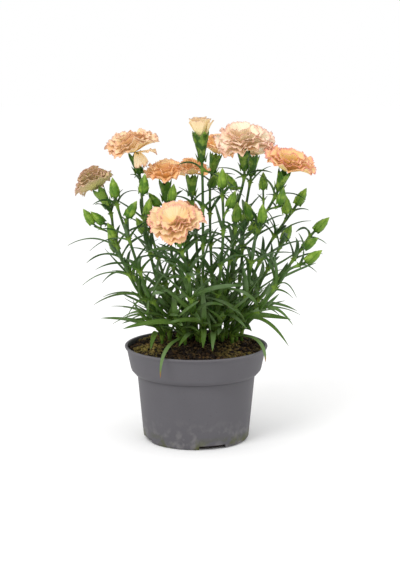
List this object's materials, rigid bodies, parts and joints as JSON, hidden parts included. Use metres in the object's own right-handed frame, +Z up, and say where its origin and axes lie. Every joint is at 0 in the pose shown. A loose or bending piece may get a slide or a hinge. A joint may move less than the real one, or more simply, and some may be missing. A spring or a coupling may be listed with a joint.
{
  "type": "potted dianthus plant",
  "caption": "Pot carnation in bloom: frilled peach double flowers, green buds and narrow blue-green leaves rising from soil in a round collared nursery pot.",
  "frame": {"origin": "middle of the pot's flat underside", "axes": "+Z up along the pot's axis, -Y towards the side the plant is mainly seen from, +X to its right"},
  "size_m": [0.2345, 0.2085, 0.2931],
  "materials": {
    "pot": "matte grey moulded plastic",
    "soil": "rough dark potting compost with bark and fibre",
    "foliage": "waxy blue-green leaves with yellow-green buds",
    "petals": "soft matte peach petals with salmon edges",
    "dusky_petals": "soft matte dusky peach petals seen from below",
    "cream_petals": "soft matte cream petals"
  },
  "bodies": {
    "root": {"pot": "pot", "soil": "soil", "shoot_far_left": "foliage", "shoot_thin_left": "foliage", "shoot_left": "foliage", "shoot_mid_left": "foliage", "shoot_front": "foliage", "shoot_top_bud": "foliage", "shoot_back_top": "foliage", "shoot_back_high": "foliage", "shoot_mid_bud": "foliage", "shoot_top_right": "foliage", "shoot_top_right_back": "foliage", "shoot_right": "foliage", "shoot_right_buds": "foliage", "shoot_far_right": "foliage", "shoot_low_right": "foliage", "shoot_inner": "foliage", "shoot_back_left": "foliage", "shoot_back_mid": "foliage", "shoot_back_right": "foliage", "shoot_back_far_right": "foliage", "shoot_back_far_left": "foliage", "shoot_low_front_left": "foliage", "shoot_low_front_right": "foliage", "shoot_low_front": "foliage", "shoot_low_right_back": "foliage", "shoot_low_left_back": "foliage", "shoot_low_left": "foliage", "shoot_low_back": "foliage", "petals_far_left": "dusky_petals", "petals_left": "petals", "petals_mid_left": "petals", "petals_front": "petals", "petals_back_top": "petals", "petals_back_high": "petals", "petals_top_right": "petals", "petals_top_right_back": "petals", "petals_right": "petals", "petals_back_mid": "petals", "petals_opening_bud": "cream_petals"}
  },
  "joints": []
}
